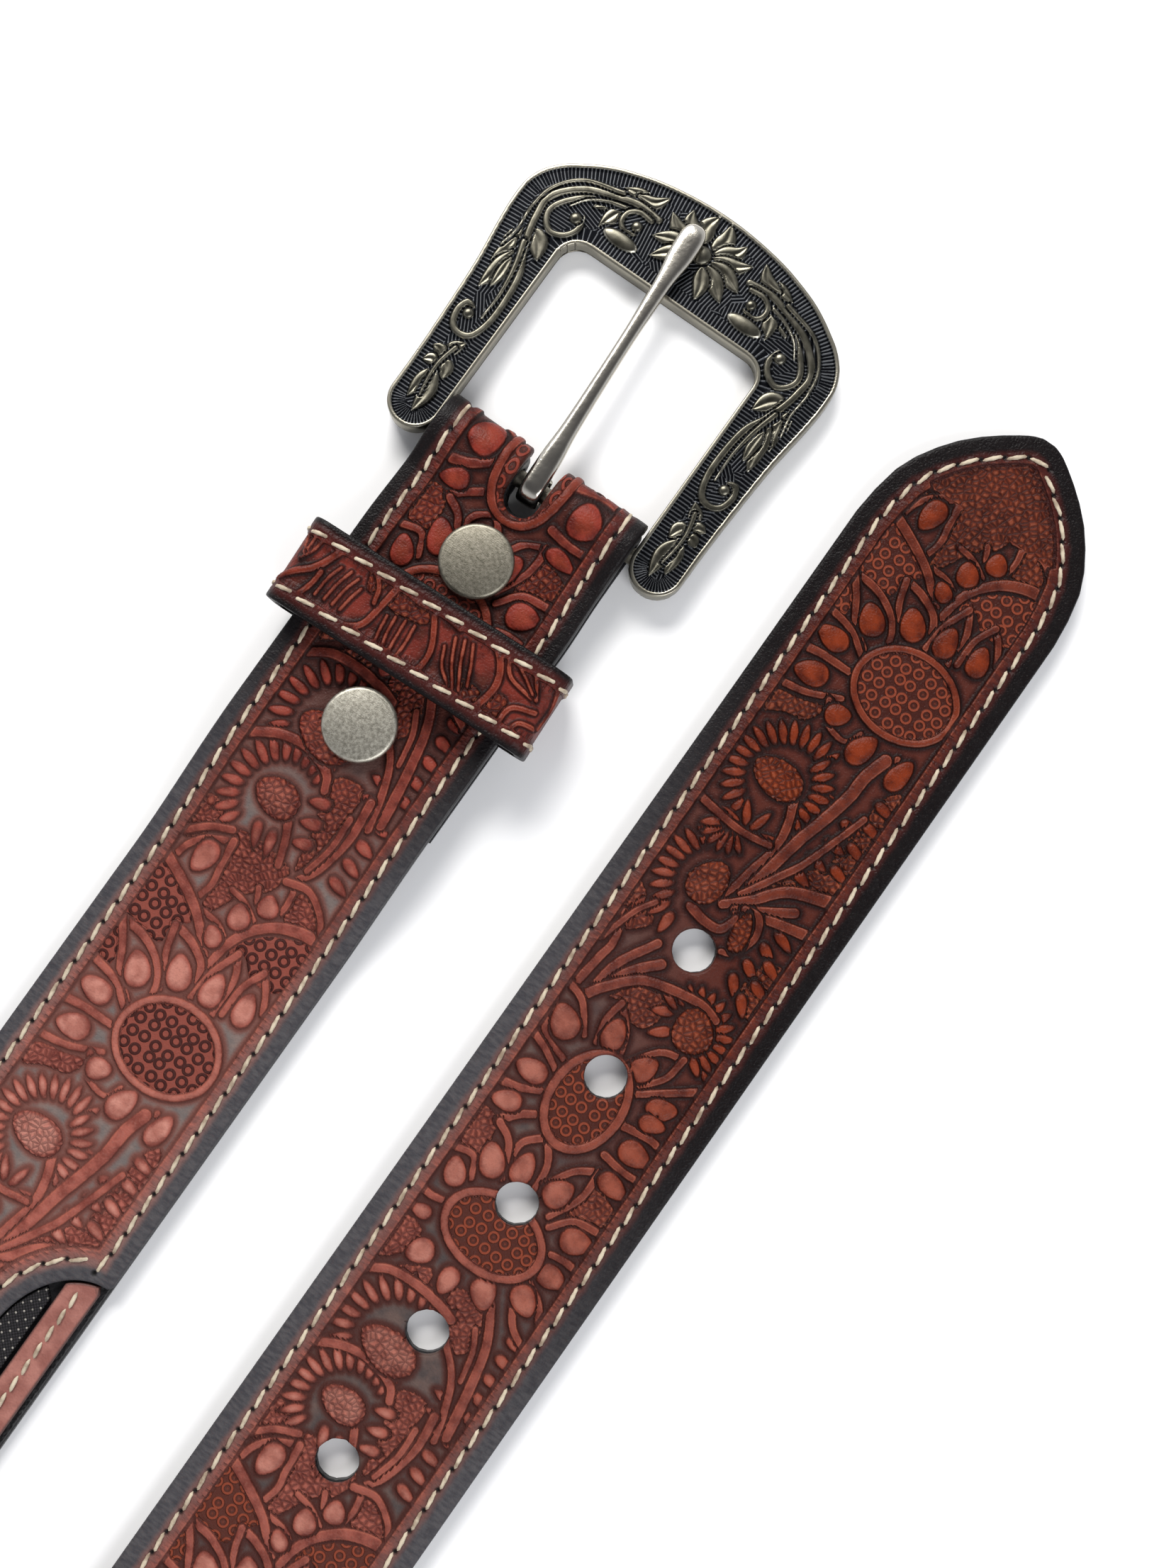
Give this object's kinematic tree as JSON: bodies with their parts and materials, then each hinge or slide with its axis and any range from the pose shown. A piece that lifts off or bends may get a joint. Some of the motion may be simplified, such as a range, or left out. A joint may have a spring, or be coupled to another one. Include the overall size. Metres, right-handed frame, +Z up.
{
  "type": "western belt",
  "caption": "Tooled leather western belt with a scrollwork buckle, snap-held keeper, punched tip and mesh inlay, lying with both ends side by side.",
  "frame": {"origin": "centre of the belt's box on the surface that it lies on", "axes": "+Y along both straight runs towards the buckle and the tip, +Z up out of the surface, +X from the buckle run to the tip run"},
  "size_m": [0.1224, 0.5236, 0.04],
  "materials": {
    "black_leather": "black dyed leather with burnished edges",
    "tooled_leather": "embossed leather, cognac red with dark antiqued recesses",
    "rose_leather": "dusty rose-brown leather",
    "mesh_weave": "black woven mesh with pale dots",
    "snap_nickel": "matte speckled antique nickel",
    "buckle_nickel": "antique nickel, polished relief on a blackened ground",
    "cream_thread": "waxed cream sewing thread"
  },
  "bodies": {
    "strap": {"backing_strap": "black_leather", "tooled_overlay_buckle_end": "tooled_leather", "tooled_overlay_tip_end": "tooled_leather", "mesh_inlay": "mesh_weave", "edge_strip_left": "rose_leather", "edge_strip_right": "rose_leather", "keeper_loop": "tooled_leather", "snap_cap_1": "snap_nickel", "snap_cap_2": "snap_nickel", "snap_stud_1": "snap_nickel", "snap_stud_2": "snap_nickel"},
    "buckle": {"buckle_frame": "buckle_nickel"},
    "tongue": {"tongue": "buckle_nickel"}
  },
  "joints": [
    {"name": "buckle_swing", "type": "hinge", "parent": "strap", "child": "buckle", "pos_m": [-0.02923, 0.20474, 0.00385], "axis": [1, 0, 0], "range_deg": [-45, 25]},
    {"name": "tongue_swing", "type": "hinge", "parent": "buckle", "child": "tongue", "pos_m": [-0.02923, 0.20474, 0.00385], "axis": [1, 0, 0], "range_deg": [0, 75]}
  ]
}
